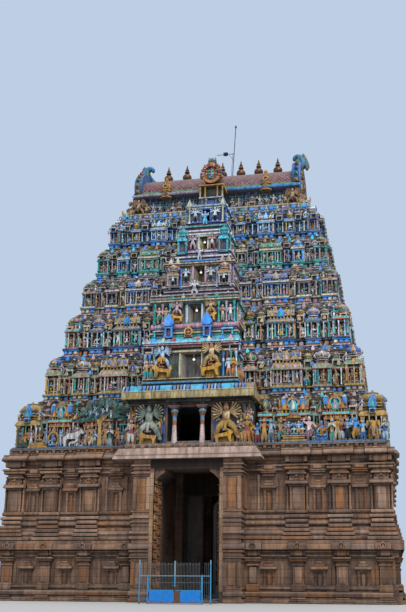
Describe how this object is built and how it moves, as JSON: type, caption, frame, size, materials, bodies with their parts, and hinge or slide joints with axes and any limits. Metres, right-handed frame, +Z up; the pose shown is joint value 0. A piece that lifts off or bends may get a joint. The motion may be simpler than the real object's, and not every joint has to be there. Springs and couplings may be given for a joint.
{
  "type": "temple gateway tower",
  "caption": "South-Indian temple gateway tower (gopuram): carved stone base with a gated passage, stepped painted storeys of shrines and figures, and a barrel roof with finials.",
  "frame": {"origin": "centre of the passage floor at ground level, on the tower's centre in plan", "axes": "+X to the right along the front, -Y out of the gated front, +Z up"},
  "size_m": [27.4, 25.64, 39.6],
  "materials": {
    "granite": "matte",
    "granite_grey": "matte",
    "painted_plaster_1": "matte",
    "painted_plaster_2": "matte",
    "painted_plaster_3": "matte",
    "painted_plaster_4": "matte",
    "painted_plaster_5": "matte",
    "painted_plaster_6": "matte",
    "plain_plaster": "matte",
    "painted_roof": "matte",
    "blue_plaster": "matte",
    "painted_stone_column": "matte",
    "finial_copper": "satin",
    "mast_steel": "satin",
    "painted_steel": "satin"
  },
  "bodies": {
    "tower": {"left_plinth": "granite", "right_plinth": "granite", "left_lower_storey": "granite", "right_lower_storey": "granite", "left_upper_storey": "granite", "right_upper_storey": "granite", "front_portal": "granite", "rear_portal": "granite", "inner_door_frame": "granite", "passage_floor": "granite_grey", "great_cornice": "granite_grey", "storey_1_wall": "painted_plaster_1", "storey_2_wall": "painted_plaster_2", "storey_3_wall": "painted_plaster_3", "storey_4_wall": "painted_plaster_4", "storey_5_wall": "painted_plaster_5", "storey_6_wall": "painted_plaster_6", "storey_2_floor": "plain_plaster", "storey_3_floor": "plain_plaster", "storey_4_floor": "plain_plaster", "storey_5_floor": "plain_plaster", "storey_6_floor": "plain_plaster", "terrace_slab": "plain_plaster", "storey_1_left_shrines": "painted_plaster_1", "storey_1_right_shrines": "painted_plaster_1", "storey_2_left_shrines": "painted_plaster_2", "storey_2_right_shrines": "painted_plaster_2", "storey_3_left_shrines": "painted_plaster_3", "storey_3_right_shrines": "painted_plaster_3", "storey_4_left_shrines": "painted_plaster_4", "storey_4_right_shrines": "painted_plaster_4", "storey_5_left_shrines": "painted_plaster_5", "storey_5_right_shrines": "painted_plaster_5", "storey_6_left_shrines": "painted_plaster_6", "storey_6_right_shrines": "painted_plaster_6", "front_balcony_frame": "painted_stone_column", "rear_balcony_frame": "painted_stone_column", "front_balcony_eave": "plain_plaster", "rear_balcony_eave": "plain_plaster", "neck_wall": "painted_plaster_6", "barrel_roof": "painted_roof", "left_gable": "blue_plaster", "right_gable": "blue_plaster", "front_nasi": "painted_plaster_4", "rear_nasi": "painted_plaster_4", "ridge_finials": "finial_copper", "lightning_mast": "mast_steel", "gate_frame": "painted_steel"},
    "left_leaf": {"left_gate_leaf": "painted_steel"},
    "right_leaf": {"right_gate_leaf": "painted_steel"}
  },
  "joints": [
    {"name": "left_gate_hinge", "type": "hinge", "parent": "tower", "child": "left_leaf", "pos_m": [-1.652, -13.78, 0.06], "axis": [0, 0, 1], "range_deg": [0, 90]},
    {"name": "right_gate_hinge", "type": "hinge", "parent": "tower", "child": "right_leaf", "pos_m": [1.652, -13.78, 0.06], "axis": [0, 0, -1], "range_deg": [0, 90]}
  ]
}
